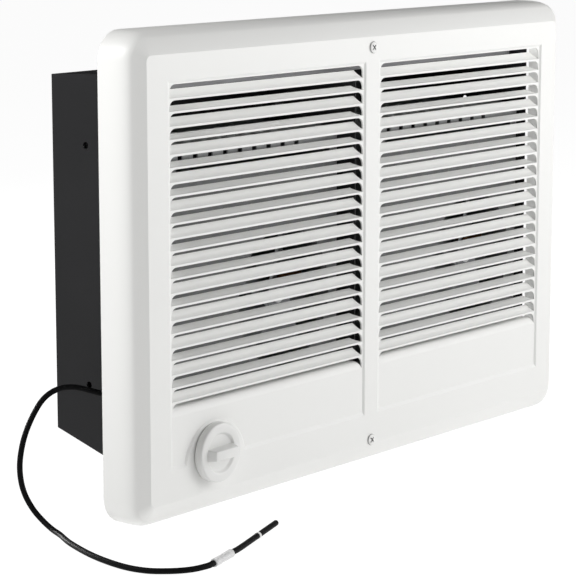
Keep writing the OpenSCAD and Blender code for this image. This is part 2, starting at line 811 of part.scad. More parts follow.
module element(i) {
    x0 = deck_x(i);
    bend = x0 + element_bend_x;
    fin_count = floor((element_bend_x - fin_start) / fin_pitch);
    color(bright_steel)
    union() {
        for (y = element_leg_ys)
            rod_x(y, element_z, element_d / 2, x0 - element_tail, bend);
        translate([bend, element_y, element_z])
            rotate([0, 0, -90])
                rotate_extrude(angle = 180)
                    translate([element_leg_gap / 2, 0])
                        circle(element_d / 2, $fn = 24);
        for (k = [0:fin_count])
            box([x0 + fin_start + k * fin_pitch, element_leg_ys[0] - fin_size / 2, element_z - fin_size / 2],
                [x0 + fin_start + k * fin_pitch + fin_t, element_leg_ys[1] + fin_size / 2,
                    element_z + fin_size / 2]);
    }
}

module insulators(i) {
    x0 = deck_x(i);
    color(ceramic)
    for (y = element_leg_ys)
        difference() {
            union() {
                rod_x(y, element_z, insulator_neck_r, x0 - 3, x0 + deck_sheet + 1);
                rod_x(y, element_z, insulator_r, x0 + deck_sheet, x0 + deck_sheet + 4);
            }
            rod_x(y, element_z, element_d / 2, x0 - 4, x0 + deck_sheet + 5);
        }
}

module limit_switch(i) {
    color(bright_steel)
    translate([deck_x(i) + deck_w - limit_r - limit_margin, limit_y, deck_top_z - deck_sheet - limit_h]) {
        translate([0, 0, 3])
            cylinder(r = limit_r, h = limit_h - 3);
        cylinder(r = limit_r - 2, h = 4);
        for (y = [-4, 4])
            translate([-2, y - 0.4, -4])
                cube([4, 0.8, 5]);
    }
}

// ---------- thermostat ----------
module thermostat_body() {
    color(black_plastic)
    difference() {
        union() {
            translate([knob_x, 0, knob_z])
                plate(stat_front_y, deck_y)
                    round_rect(stat_w, stat_h, 2);
            translate([knob_x, 0, knob_z + stat_ear_h / 2])
                plate(deck_y - stat_ear_t, deck_y)
                    round_rect(stat_w, stat_h + stat_ear_h, 2);
            rod(knob_x, knob_z, stat_nose_r, stat_nose_y, deck_y - 1);
        }
        rod(knob_x, knob_z, shaft_d / 2 + running_gap, stat_nose_y - 1, shaft_in_y + 1);
        for (x = [-stat_screw_x, stat_screw_x])
            rod(knob_x + x, stat_screw_z, screw_r + screw_gap, deck_y - 3, deck_y + 1);
    }
}

module thermostat_screws() {
    color(bright_steel)
    for (x = [-stat_screw_x, stat_screw_x])
        pan_screw(knob_x + x, stat_screw_z, deck_y - stat_ear_t, stat_ear_t + deck_sheet + screw_end);
}

// The flat that keys the knob on the shaft
module shaft_profile(y0, y1) {
    difference() {
        rod(knob_x, knob_z, shaft_d / 2, y0, y1);
        box([knob_x - shaft_d, y0 - 1, knob_z + shaft_d / 2 - shaft_flat],
            [knob_x + shaft_d, knob_back_y + 1, knob_z + shaft_d]);
    }
}

module thermostat_shaft() {
    color(bright_steel)
    shaft_profile(shaft_tip_y, shaft_in_y);
}

module knob() {
    r = knob_d / 2;
    color(white_paint)
    difference() {
        union() {
            translate([knob_x, knob_back_y, knob_z])
                rotate([90, 0, 0])
                    rotate_extrude()
                        polygon([[0, 0], [r, 0], [r, knob_t - 1], [r - 0.4, knob_t - 0.3], [r - 1.2, knob_t],
                            [r * 0.7, knob_t], [r * 0.62, knob_t - knob_dish_d], [0, knob_t - knob_dish_d]]);
            translate([knob_x, 0, knob_z])
                hull() {
                    plate(knob_face_y - grip_h, knob_face_y - grip_h + eps)
                        round_rect(grip_len - 5, grip_w - 2, 1.5);
                    plate(knob_face_y, knob_face_y + knob_dish_d + 0.5)
                        round_rect(grip_len, grip_w, 1.5);
                }
        }
        intersection() {
            shaft_profile(shaft_tip_y, knob_back_y + 1);
            rod(knob_x, knob_z, shaft_d, shaft_tip_y, knob_back_y + 1);
        }
    }
}

// ---------- leads ----------
module cable_bush() {
    color(black_plastic) {
        rod_x(bush_y, bush_z, bush_r, bush_out_x, bush_in_x);
        rod_x(bush_y, bush_z, bush_flange_r, bush_out_x, -can_w / 2);
        rod_x(bush_y, bush_z, bush_flange_r, -can_inner_x, bush_in_x);
    }
}

module ground_screw() {
    color([0.1, 0.45, 0.2])
    pan_screw(ground_x, ground_z, can_back_y, can_sheet + screw_end);
}

module inner_lead() {
    color(black_plastic)
    swept_tube(smooth(inner_route, 3), lead_r, 8, [1, 0, 0], [1, 0, 0]);
}

module link_lead_left() {
    color(black_plastic)
    swept_tube(smooth(left_link_route, 3), wire_r, 6, [0, 0, 1], [1, 0, 0]);
}

module link_lead_right() {
    color(black_plastic)
    swept_tube(smooth(right_link_route, 3), wire_r, 6, [-1, 0, 0], [1, 0, 0]);
}

module supply_lead() {
    color(black_plastic)
    swept_tube(smooth(lead_route, 3), lead_r, 8, [-1, 0, 0], [cos(tail_angle), sin(tail_angle), 0]);
}

module ring_on_lead(at, angle, length, r, gap) {
    translate(at)
        rotate([0, 90, angle])
            difference() {
                cylinder(r = r, h = length, center = true);
                cylinder(r = lead_r + gap, h = length + 1, center = true);
            }
}

module lead_sleeve() {
    color([0.7, 0.7, 0.71])
    ring_on_lead(sleeve_at, sleeve_angle, sleeve_len, sleeve_r, sleeve_gap);
}

module lead_band() {
    color(white_paint)
    ring_on_lead(band_at, tail_angle, band_len, band_r, 0);
}

wall_can();
front_cover();
cover_screws();
fan_deck(0);  // fan_deck_left
fan_deck(1);  // fan_deck_right
deck_screws();
divider_plate();
motor_bridge(0);  // motor_bridge_left
motor_bridge(1);  // motor_bridge_right
rear_bearing(0);  // rear_bearing_left
rear_bearing(1);  // rear_bearing_right
stator(0);  // stator_left
stator(1);  // stator_right
motor_coil(0);  // motor_coil_left
motor_coil(1);  // motor_coil_right
front_bearing(0);  // front_bearing_left
front_bearing(1);  // front_bearing_right
rotor(0);  // rotor_left
rotor(1);  // rotor_right
motor_shaft(0);  // motor_shaft_left
motor_shaft(1);  // motor_shaft_right
fan(0);  // fan_left
fan(1);  // fan_right
fan_clip(0);  // fan_clip_left
fan_clip(1);  // fan_clip_right
element(0);  // element_left
element(1);  // element_right
insulators(0);  // insulators_left
insulators(1);  // insulators_right
limit_switch(0);  // limit_switch_left
limit_switch(1);  // limit_switch_right
thermostat_body();
thermostat_screws();
thermostat_shaft();
knob();
cable_bush();
ground_screw();
inner_lead();
link_lead_left();
link_lead_right();
supply_lead();
lead_sleeve();
lead_band();
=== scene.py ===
import math

import bmesh
import bpy
from mathutils import Matrix, Vector


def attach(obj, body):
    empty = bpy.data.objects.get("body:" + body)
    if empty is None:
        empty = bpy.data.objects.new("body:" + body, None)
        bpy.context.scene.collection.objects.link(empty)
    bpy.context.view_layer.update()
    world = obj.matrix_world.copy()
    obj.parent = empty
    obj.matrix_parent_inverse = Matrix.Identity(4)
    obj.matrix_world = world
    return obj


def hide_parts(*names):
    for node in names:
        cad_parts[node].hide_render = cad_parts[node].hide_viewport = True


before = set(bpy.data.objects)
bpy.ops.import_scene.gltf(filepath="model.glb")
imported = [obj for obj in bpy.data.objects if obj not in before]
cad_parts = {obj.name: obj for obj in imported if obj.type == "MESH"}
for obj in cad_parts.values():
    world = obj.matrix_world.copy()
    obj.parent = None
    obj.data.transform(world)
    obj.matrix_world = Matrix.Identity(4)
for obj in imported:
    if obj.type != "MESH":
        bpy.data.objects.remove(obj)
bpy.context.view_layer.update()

# ---------- camera ----------
# The camera stands to the left of the heater and above it, far off with a long
# lens. Its place comes from the grille's slots and the edges of cover and can.
camera_data = bpy.data.cameras.new("camera")
camera_data.lens = 145.489
camera_data.sensor_width = 36
camera = bpy.data.objects.new("camera", camera_data)
camera.location = (-1.27737, -1.014656, 0.253416)
camera_turn = math.radians(50.310023)
camera_pitch = math.radians(10.049294)
camera_roll = -0.000367
camera.rotation_euler = (
    Matrix.Rotation(-camera_turn, 3, "Z")
    @ Matrix.Rotation(math.pi / 2 - camera_pitch, 3, "X")
    @ Matrix.Rotation(camera_roll, 3, "Z")
).to_euler()
bpy.context.scene.collection.objects.link(camera)
bpy.context.scene.camera = camera
bpy.context.scene.view_settings.view_transform = "Standard"


# ---------- supply lead ----------
# The lead is a black rubber-sheathed cable, 3.8 mm thick, that leaves the can
# through its bush, hangs to the table and lies there in one loose curve. It ends
# cut off bare, with a light grey sleeve and a narrow white band near the end.
class Signal:
    """One socket of a finish. Sums, differences and products of signals add Math nodes."""

    def __init__(self, socket):
        self.socket = socket

    def node(self, kind, settings, sockets, output=0):
        tree = self.socket.id_data
        made = tree.nodes.new(kind)
        for name, value in settings.items():
            setattr(made, name, value)
        for name, value in sockets.items():
            if isinstance(value, Signal):
                tree.links.new(value.socket, made.inputs[name])
            else:
                made.inputs[name].default_value = value
        return Signal(made.outputs[output])

    def math(self, operation, *values):
        return self.node("ShaderNodeMath", {"operation": operation}, dict(enumerate(values)))

    def __add__(self, other):
        return self.math("ADD", self, other)

    def __radd__(self, other):
        return self.math("ADD", other, self)

    def __rsub__(self, other):
        return self.math("SUBTRACT", other, self)

    def __mul__(self, other):
        return self.math("MULTIPLY", self, other)

    def __rmul__(self, other):
        return self.math("MULTIPLY", other, self)

    def along(self, axis):
        """One axis of a place, in metres."""
        return self.node("ShaderNodeSeparateXYZ", {}, {0: self}, "xyz".index(axis))

    def noise(self, scale, detail=2, stretch=(1, 1, 1)):
        place = self.node("ShaderNodeMapping", {}, {"Vector": self, "Scale": stretch})
        sockets = {"Vector": place, "Scale": scale, "Detail": detail}
        return self.node("ShaderNodeTexNoise", {}, sockets)

    def between(self, low, high):
        """The signal's range from low to high, stretched from 0 to 1."""
        return self.node("ShaderNodeMapRange", {}, {0: self, 1: low, 2: high})

    def tint(self, first, second):
        """A colour that goes from the first to the second as the signal goes from 0 to 1."""
        ends = [end if isinstance(end, Signal) else (*end, 1) for end in (first, second)]
        sockets = {0: self, 6: ends[0], 7: ends[1]}
        return self.node("ShaderNodeMix", {"data_type": "RGBA"}, sockets, 2)

    def bump(self, height, strength):
        """The signal as a height in metres, for the shader's Normal."""
        sockets = {"Height": self, "Distance": height, "Strength": strength}
        return self.node("ShaderNodeBump", {}, sockets)


def new_finish(name):
    """A material with a bare shader, and a Signal of the piece's own coordinates."""
    material = bpy.data.materials.new(name)
    material.use_nodes = True
    shader = material.node_tree.nodes["Principled BSDF"]
    place = material.node_tree.nodes.new("ShaderNodeTexCoord").outputs["Object"]
    return material, shader, Signal(place)


def feed(shader, **sockets):
    """Links signals to the shader's sockets, and sets plain values on them."""
    for name, value in sockets.items():
        socket = shader.inputs[name.replace("_", " ")]
        if isinstance(value, Signal):
            shader.id_data.links.new(value.socket, socket)
        else:
            socket.default_value = value


def coat(obj, material):
    """Gives a piece its one material."""
    obj.data.materials.clear()
    obj.data.materials.append(material)


rubber, shader, place = new_finish("rubber_sheath")
dust = place.noise(900, 3).between(0.35, 0.75)
feed(shader, Base_Color=dust.tint((0.004, 0.004, 0.004), (0.008, 0.008, 0.009)),
     Roughness=0.5 + 0.1 * dust, Normal=place.noise(2600).bump(0.00005, 0.25),
     Specular_IOR_Level=0.05)

lead_d = 0.0038
sleeve_wall, band_wall = 0.0009, 0.0003
table_z = -0.159
lead_z = table_z + lead_d / 2
sleeve_z, band_z = lead_z + sleeve_wall, lead_z + band_wall
lead_points = [
    (-0.213, 0.018, -0.078), (-0.22, 0.0191, -0.0771), (-0.228, 0.0226, -0.0743),
    (-0.2365, 0.0282, -0.0715), (-0.2455, 0.0336, -0.0718), (-0.255, 0.037, -0.0766),
    (-0.264, 0.038, -0.086), (-0.2723, 0.038, -0.099), (-0.2765, 0.038, -0.113),
    (-0.2765, 0.038, -0.125), (-0.2743, 0.0368, -0.136), (-0.271, 0.033, -0.146),
    (-0.269, 0.026, -0.1531), (-0.2702, 0.0165, lead_z + 0.0004), (-0.275, 0.0045, lead_z),
    (-0.285, -0.0155, lead_z), (-0.295, -0.045, lead_z), (-0.2992, -0.072, lead_z),
    (-0.2965, -0.09, lead_z), (-0.2885, -0.1027, lead_z + 0.0003),
    (-0.2797, -0.1103, lead_z + 0.0006),
    (-0.2705, -0.1136, sleeve_z), (-0.262, -0.11313, sleeve_z), (-0.238, -0.10687, sleeve_z),
    (-0.226, -0.1034, lead_z + 0.0006), (-0.2, -0.0943, band_z), (-0.1675, -0.0834, band_z)]
line = bpy.data.curves.new("supply_lead_line", "CURVE")
line.dimensions = "3D"
line.bevel_depth = lead_d / 2
line.bevel_resolution = 4
line.resolution_u = 8
line.use_fill_caps = True
spline = line.splines.new("BEZIER")
spline.bezier_points.add(len(lead_points) - 1)
befores = lead_points[:1] + lead_points
afters = lead_points[1:] + lead_points[-1:]
for point, at, before, after in zip(spline.bezier_points, lead_points, befores, afters):
    handle = (Vector(after) - Vector(before)) / 6
    point.co = at
    point.handle_left = point.co - handle
    point.handle_right = point.co + handle
lead = bpy.data.objects.new("supply_lead_sheath", line)
bpy.context.scene.collection.objects.link(lead)
coat(lead, rubber)
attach(lead, "heater_body")
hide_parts("supply_lead")


def start_piece(name, add, **where):
    """Adds a primitive with nothing else selected, names it and opens it in edit mode."""
    if bpy.context.object and bpy.context.object.mode == "EDIT":
        bpy.ops.object.mode_set(mode="OBJECT")
    bpy.ops.object.select_all(action="DESELECT")
    add(**where)
    bpy.context.object.name = name
    bpy.ops.object.mode_set(mode="EDIT")
    return bpy.context.object


def take(*objects):
    """Selects these pieces alone and makes the first one active."""
    bpy.ops.object.select_all(action="DESELECT")
    for obj in objects:
        obj.select_set(True)
    bpy.context.view_layer.objects.active = objects[0]
    return objects[0]


def settle(obj):
    """Leaves edit mode and puts the piece's place into its mesh."""
    if obj.mode == "EDIT":
        bpy.ops.object.mode_set(mode="OBJECT")
    take(obj)
    bpy.ops.object.transform_apply(location=True, rotation=True, scale=True)
    return obj


def turned(name, centre, direction, profile, sides=48):
    """A turned piece: a circle extruded and scaled through steps of (radius, height)."""
    axis = Vector(direction).normalized()
    turn = axis.to_track_quat("Z", "Y").to_euler()
    radius, height = profile[0]
    start = Vector(centre) + axis * height
    obj = start_piece(name, bpy.ops.mesh.primitive_circle_add, vertices=sides, radius=radius,
                      fill_type="NGON", location=start, rotation=turn)
    bpy.ops.mesh.select_all(action="SELECT")
    for new_radius, new_height in profile[1:]:
        step = axis * (new_height - height)
        middle = Vector(centre) + axis * new_height
        bpy.ops.mesh.extrude_region_move(TRANSFORM_OT_translate={"value": step})
        bpy.ops.transform.resize(value=(new_radius / radius,) * 3, center_override=middle)
        radius, height = new_radius, new_height
    bpy.ops.mesh.select_all(action="SELECT")
    bpy.ops.mesh.normals_make_consistent(inside=False)
    return settle(obj)


def smooth(obj, degrees=30):
    """Smooths over all edges that turn by less than this."""
    take(obj)
    bpy.ops.object.shade_smooth_by_angle(angle=math.radians(degrees))
    return obj


sleeve_finish, shader, place = new_finish("sleeve_plastic")
feed(shader, Base_Color=place.noise(500).tint((0.70, 0.70, 0.70), (0.78, 0.78, 0.78)),
     Roughness=0.45 + 0.1 * place.noise(900), Normal=place.noise(1800).bump(0.00006, 0.3))
band_finish, shader, place = new_finish("band_plastic")
feed(shader, Base_Color=place.noise(700).tint((0.80, 0.80, 0.79), (0.88, 0.88, 0.87)),
     Roughness=0.4 + 0.1 * place.noise(1200))

sleeve_turn = math.atan2(6.26, 24)
sleeve_axis = Vector((math.cos(sleeve_turn), math.sin(sleeve_turn), 0))
sleeve_r, sleeve_half = lead_d / 2 + sleeve_wall - 0.0001, 0.0119
rim_w, rim_l, waist = 0.0003, 0.0004, 0.00015
sleeve = turned("lead_sleeve_tube", (-0.25, -0.11, sleeve_z), sleeve_axis, [
    (lead_d / 2, -sleeve_half), (sleeve_r - rim_w, -sleeve_half), (sleeve_r, rim_l - sleeve_half),
    (sleeve_r - waist, 0), (sleeve_r, sleeve_half - rim_l), (sleeve_r - rim_w, sleeve_half),
    (lead_d / 2, sleeve_half)], 32)
coat(smooth(sleeve), sleeve_finish)
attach(sleeve, "heater_body")
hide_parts("lead_sleeve")

band_turn = math.atan2(10.9, 32.5)
band_axis = Vector((math.cos(band_turn), math.sin(band_turn), 0))
band_r, band_half, band_rim = lead_d / 2 + band_wall, 0.0012, 0.0002
band = turned("lead_band_ring", (-0.197, -0.0933, band_z), band_axis, [
    (lead_d / 2, -band_half), (band_r, band_rim - band_half), (band_r, band_half - band_rim),
    (lead_d / 2, band_half)], 32)
coat(smooth(band), band_finish)
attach(band, "heater_body")
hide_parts("lead_band")

# ---------- studio ----------
# A wide white table that glows softly, three large lamps in front and two small
# ones behind. The camera sees the table and all that surrounds it as white.
table, shader, place = new_finish("table_white")
feed(shader, Base_Color=(0.86, 0.86, 0.86, 1), Roughness=0.9, Specular_IOR_Level=0)
tree = table.node_tree
rays = tree.nodes.new("ShaderNodeLightPath")
seen, mirrored = (Signal(rays.outputs[kind]) for kind in ("Is Camera Ray", "Is Glossy Ray"))
looked_at = seen.math("MAXIMUM", seen, mirrored)
glow_colour = looked_at.tint((1.16, 1.16, 1.16), (1.2, 1.2, 1.2))
glow_share = looked_at * 0.3 + 0.5
glow = tree.nodes.new("ShaderNodeEmission")
mix = tree.nodes.new("ShaderNodeMixShader")
tree.links.new(glow_colour.socket, glow.inputs["Color"])
tree.links.new(glow_share.socket, mix.inputs[0])
tree.links.new(shader.outputs[0], mix.inputs[1])
tree.links.new(glow.outputs[0], mix.inputs[2])
tree.links.new(mix.outputs[0], tree.nodes["Material Output"].inputs["Surface"])
table_gap = 0.0002
floor = start_piece("table_top", bpy.ops.mesh.primitive_plane_add, size=40,
                    location=(0, 0, table_z - table_gap))
settle(floor)
floor.data.materials.append(table)

world = bpy.data.worlds.new("surround")
bpy.context.scene.world = world
world.use_nodes = True
rays = world.node_tree.nodes.new("ShaderNodeLightPath")
seen = Signal(rays.outputs["Is Camera Ray"])
ambient = 0.03
feed(world.node_tree.nodes["Background"], Color=(1, 1, 1, 1),
     Strength=seen * (1 - ambient) + ambient)


def softbox(name, place, target, size, power):
    """A lamp with a lit rectangle of this size that faces the target."""
    light = bpy.data.lights.new(name, "AREA")
    light.shape = "RECTANGLE"
    light.size, light.size_y = size
    light.energy = power
    lamp = bpy.data.objects.new(name, light)
    lamp.location = place
    lamp.rotation_euler = (Vector(target) - Vector(place)).to_track_quat("-Z", "Y").to_euler()
    bpy.context.scene.collection.objects.link(lamp)


softbox("front_right", (1.35, -1.3, 0.45), (0.1, 0, 0), (1.5, 1.2), 20.5)
softbox("front_top", (0.4, -1.2, 1.2), (0, 0, 0), (1.4, 1.1), 7.5)
softbox("front_left", (-1.6, -1.6, 0.6), (0, 0, 0), (1.0, 1.0), 1.5)
softbox("back_left", (-0.9, 0.38, 0.6), (-0.24, 0, 0.1), (0.45, 0.45), 8)
softbox("back", (0, 1.2, -0.05), (0.2, 0, 0), (0.4, 0.4), 26)

# ---------- wall can ----------
# A shallow open box of 1.2 mm sheet steel that sits in the wall between the studs.
# It is folded and spot welded, painted satin dark grey, and screwed to the studs through two
# holes in each side. The front face of its top lip is coloured a lighter grey.
dark_coat, shader, place = new_finish("dark_coat")
patch = place.noise(9, 3).between(0.3, 0.7)
grain = place.noise(1500)
depth, height = place.along("y"), place.along("z")
# The top lip's front face, above 117 mm, is coloured a lighter grey.
lip_low_z, lip_face_y = 0.117, -0.0012
on_lip = height.math("GREATER_THAN", height, lip_low_z)
lip_tone_and_painted_shade = on_lip * depth.math("COMPARE", depth, lip_face_y, 0.0001)
coat_tone = patch.tint((0.008, 0.008, 0.009), (0.012, 0.012, 0.013))
lighter_grey_tone = patch.tint((0.26, 0.26, 0.27), (0.32, 0.32, 0.33))
feed(shader, Base_Color=lip_tone_and_painted_shade.tint(coat_tone, lighter_grey_tone), Roughness=0.48 + 0.08 * grain,
     Normal=grain.bump(0.00005, 0.25), Specular_IOR_Level=0.2)


def cad_coat(material, slot_name, *nodes):
    """Coats pieces that are shown as the solids have them."""
    for node in nodes:
        coat(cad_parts[node], material)


cad_coat(dark_coat, "dark_steel", "wall_can")

# ---------- front cover ----------
# One deep pressing of 1.2 mm steel sheet with a white powder coat. Its edge is
# rounded over and ends in a sloped band, and two shallow panels are pressed into
# the flat face, with a flush round boss for the knob in the lower left corner.
white_coat, shader, place = new_finish("white_coat")
peel = place.noise(1100)
cloud = place.noise(6)
feed(shader, Base_Color=cloud.tint((0.865, 0.865, 0.845), (0.895, 0.895, 0.878)),
     Roughness=0.38 + 0.1 * peel, Normal=peel.bump(0.00004, 0.2))

cover_w, cover_h, cover_d, sheet = 0.48, 0.318, 0.031, 0.0012
corner_r, face_corner_r = 0.019, 0.004
side_d = 0.0105
band_w, band_h = 0.0116, 0.015
bar_w, panel_w = 0.0147, 0.20215
panel_top, panel_bottom = 0.1272, -0.123
recess, bevel, bottom_bevel = 0.001, 0.0016, 0.0026
face_y = -cover_d
floor_y = face_y + recess
to_room = (0, -1, 0)


def rounded_ring(width, height, radius, y, steps=8):
    """A loop of edges round a rectangle with rounded corners, added to the open mesh."""
    bpy.ops.mesh.select_all(action="DESELECT")
    bpy.ops.mesh.primitive_plane_add(size=1, location=(0, y, 0), rotation=(math.pi / 2, 0, 0))
    bpy.ops.transform.resize(value=(width, 1, height), center_override=(0, y, 0))
    bpy.ops.mesh.bevel(offset=radius, segments=steps, affect="VERTICES")
    bpy.ops.mesh.delete(type="ONLY_FACE")


def near(value, target, reach=1e-5):
    """Whether two places are the same but for rounding, or less than the reach apart."""
    return abs(value - target) < reach


def pick(obj, kind, test):
    """Selects the open mesh's vertices, edges or faces whose middle passes the test."""
    mesh = bmesh.from_edit_mesh(obj.data)
    modes = {"verts": "VERT", "edges": "EDGE", "faces": "FACE"}
    bpy.context.tool_settings.mesh_select_mode = [kind == name for name in modes]
    for group in (mesh.verts, mesh.edges, mesh.faces):
        for item in group:
            item.select = False
    mesh.select_mode = {modes[kind]}
    for item in getattr(mesh, kind):
        if kind == "verts":
            middle = item.co
        elif kind == "edges":
            middle = (item.verts[0].co + item.verts[1].co) / 2
        else:
            middle = item.calc_center_median()
        item.select_set(bool(test(middle)))
    bmesh.update_edit_mesh(obj.data)


def finish_with(obj, kind, **settings):
    """Adds a modifier to a piece, sets it up and applies it."""
    modifier = obj.modifiers.new(kind, kind)
    for name, value in settings.items():
        setattr(modifier, name, value)
    take(obj)
    bpy.ops.object.modifier_apply(modifier=modifier.name)
    return obj


def combine(obj, other, operation):
    """Adds another piece to a piece, or takes it out of it, and drops the other one."""
    finish_with(obj, "BOOLEAN", operation=operation, object=other, solver="EXACT")
    bpy.data.objects.remove(other)


cover = start_piece("cover_pressing", bpy.ops.mesh.primitive_plane_add, size=0.01)
bpy.ops.mesh.select_all(action="SELECT")
bpy.ops.mesh.delete(type="VERT")
turn_from, turn_depth, turn_width, turn_steps = 0.6, 0.75, 0.32, 8
shoulder = [(0, 0)]
for i in range(1, turn_steps + 1):
    t = i / turn_steps
    shoulder.append((2 * t * (1 - t) * turn_from + t * t * turn_depth, t * t * turn_width))
shoulder.append((1, 1))
rounded_ring(cover_w, cover_h, corner_r, 0)
for share_d, share_w in shoulder:
    rounded_ring(cover_w - 2 * share_w * band_w, cover_h - 2 * share_w * band_h,
                 max(corner_r * (1 - share_w), face_corner_r),
                 -side_d + share_d * (face_y + side_d))
bpy.ops.mesh.select_all(action="SELECT")
bpy.ops.mesh.bridge_edge_loops()
pick(cover, "edges", lambda at: near(at.y, face_y))
bpy.ops.mesh.edge_face_add()
bpy.ops.mesh.select_all(action="SELECT")
bpy.ops.mesh.normals_make_consistent(inside=False)

panel_x = (bar_w + panel_w) / 2
panel_sides = (-panel_x - panel_w / 2, -bar_w / 2, bar_w / 2, panel_x + panel_w / 2)
outlines = [((x, 0, 0), (1, 0, 0)) for x in panel_sides]
outlines += [((0, 0, z), (0, 0, 1)) for z in (panel_bottom, panel_top)]
for place_at, axis in outlines:
    pick(cover, "faces", lambda at: near(at.y, face_y))
    bpy.ops.mesh.bisect(plane_co=place_at, plane_no=axis)
pick(cover, "faces", lambda at: near(at.y, face_y) and panel_bottom < at.z < panel_top
     and near(abs(at.x), panel_x, panel_w / 2))
bpy.ops.mesh.inset(thickness=bevel, depth=-recess, use_individual=True)
bevel_reach, left_extra = 0.002, 0.0007
pick(cover, "verts", lambda at: near(at.y, floor_y) and at.z < panel_bottom + bevel_reach)
bpy.ops.transform.translate(value=(0, 0, bottom_bevel - bevel))
for side in (panel_sides[0], panel_sides[2]):
    pick(cover, "verts", lambda at: near(at.y, floor_y) and near(at.x, side, bevel_reach))
    bpy.ops.transform.translate(value=(left_extra, 0, 0))
settle(cover)
finish_with(cover, "SOLIDIFY", thickness=sheet, offset=-1, use_even_offset=True)

boss_at, boss_overlap = (-0.166, 0, -0.1265), 0.001
boss = turned("boss", boss_at, to_room, [
    (0.0303, 0.0288), (0.0303, 0.03), (0.03, 0.0302), (0.0291, 0.0308), (0.0286, 0.031)], 128)
bpy.ops.object.mode_set(mode="EDIT")
bpy.ops.mesh.select_all(action="SELECT")
bpy.ops.mesh.bisect(plane_co=(0, 0, panel_bottom - boss_overlap), plane_no=(0, 0, 1),
                    clear_inner=True, use_fill=True)
settle(boss)
combine(cover, boss, "UNION")

# ---------- grille slots ----------
# The slots are punched through the two panels, 24 in each, with their upper
# corners rounded. The strips of sheet that are left between them are the lips.
slot_w, slot_r, lip_h = 0.19715, 0.005, 0.0014
slot_top, first_slot_h, slot_pitch = 0.1248, 0.0087, 0.00885
odd_slot_rise, last_slot_drop = 0.0006, 0.0016
slot_bottoms = [slot_top - first_slot_h - slot_pitch * k + (k % 2) * odd_slot_rise
                for k in range(24)]
slot_bottoms[-1] -= last_slot_drop
slot_heights = [first_slot_h] + [above - lip_h - bottom
                                 for above, bottom in zip(slot_bottoms, slot_bottoms[1:])]
punch_y, punch_d = floor_y - 0.001, 0.004


def copy_at(obj, name, shift):
    """A copy with its own mesh, moved by shift."""
    copy = obj.copy()
    copy.data = obj.data.copy()
    copy.name = name
    copy.data.transform(Matrix.Translation(shift))
    bpy.context.scene.collection.objects.link(copy)
    return copy


def joined(name, objects):
    take(*objects)
    bpy.ops.object.join()
    objects[0].name = name
    return objects[0]


def drill(name, at, radius, low, high, sides):
    """A round bar towards the room, from low to high before the wall, that makes a hole."""
    return turned(name, at, to_room, [(radius, low), (radius, high)], sides)


punches = []
for bottom, height in zip(slot_bottoms, slot_heights):
    punch = start_piece("punch", bpy.ops.mesh.primitive_plane_add, size=1,
                        location=(-panel_x, punch_y, bottom + height / 2),
                        rotation=(math.pi / 2, 0, 0))
    bpy.ops.mesh.select_all(action="SELECT")
    bpy.ops.transform.resize(value=(slot_w, 1, height), center_override=punch.location)
    pick(punch, "verts", lambda at: at.y > 0)
    bpy.ops.mesh.bevel(offset=slot_r, segments=6, affect="VERTICES")
    bpy.ops.mesh.select_all(action="SELECT")
    bpy.ops.mesh.extrude_region_move(TRANSFORM_OT_translate={"value": (0, punch_d, 0)})
    bpy.ops.mesh.select_all(action="SELECT")
    bpy.ops.mesh.normals_make_consistent(inside=False)
    settle(punch)
    punches += [punch, copy_at(punch, "punch", (2 * panel_x, 0, 0))]
knob_at = (-0.168, 0, -0.1177)
shaft_hole = drill("shaft_hole", knob_at, 0.00575, 0.02, 0.04, 48)
screw_zs = [0.136608, -0.14148]
for z in screw_zs:
    punches.append(drill("screw_hole", (0, 0, z), 0.002, 0.02, 0.04, 32))
combine(cover, joined("punch", punches + [shaft_hole]), "DIFFERENCE")
coat(smooth(cover, 16), white_coat)
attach(cover, "heater_body")
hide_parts("front_cover")

# ---------- louvres ----------
# Behind each lip the sheet turns inwards and up as a louvre blade. Steep and
# flat blades take turns, and each is cut back slantwise at both ends.
blade_t = 0.0009
blade_taper = 1.1
steep = [(0, 0), (0.0011, 0.0009), (0.0022, 0.0021), (0.0034, 0.0037), (0.0045, 0.0054)]
flat = [(0, 0), (0.0015, 0.0005), (0.003, 0.0012), (0.0045, 0.002), (0.006, 0.003)]
last = [(0, 0), (0.0003, 0.0012), (0.001, 0.0028), (0.0019, 0.0041), (0.003, 0.005),
        (0.0046, 0.0057), (0.0065, 0.0062)]


def blade(profile):
    """A strip of sheet bent along steps of (depth, height), shorter with each step."""
    obj = start_piece("blade", bpy.ops.mesh.primitive_plane_add, size=slot_w, location=(0, 0, 0))
    pick(obj, "verts", lambda at: at.y > 0)
    bpy.ops.mesh.delete(type="VERT")
    bpy.ops.mesh.select_all(action="SELECT")
    bpy.ops.transform.translate(value=(0, slot_w / 2, 0))
    half = slot_w / 2
    for (y0, z0), (y1, z1) in zip(profile, profile[1:]):
        bpy.ops.mesh.extrude_region_move(TRANSFORM_OT_translate={"value": (0, y1 - y0, z1 - z0)})
        shorter = half - blade_taper * (y1 - y0)
        bpy.ops.transform.resize(value=(shorter / half, 1, 1), center_override=(0, 0, 0))
        half = shorter
    bpy.ops.mesh.select_all(action="SELECT")
    bpy.ops.mesh.normals_make_consistent(inside=False)
    settle(obj)
    if obj.data.polygons[-1].normal.z < 0:
        obj.data.flip_normals()
    return finish_with(obj, "SOLIDIFY", thickness=blade_t, offset=-1, use_even_offset=True)


steep_blade, flat_blade, last_blade = patterns = [blade(steep), blade(flat), blade(last)]
blades = [flat_blade if k % 2 else steep_blade for k in range(23)] + [last_blade]
for side, x in (("left", -panel_x), ("right", panel_x)):
    row = [copy_at(pattern, "blade", (x, floor_y, bottom))
           for pattern, bottom in zip(blades, slot_bottoms)]
    louvres = joined("louvres_" + side, row)
    coat(smooth(louvres, 25), white_coat)
    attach(louvres, "heater_body")
for pattern in patterns:
    bpy.data.objects.remove(pattern)
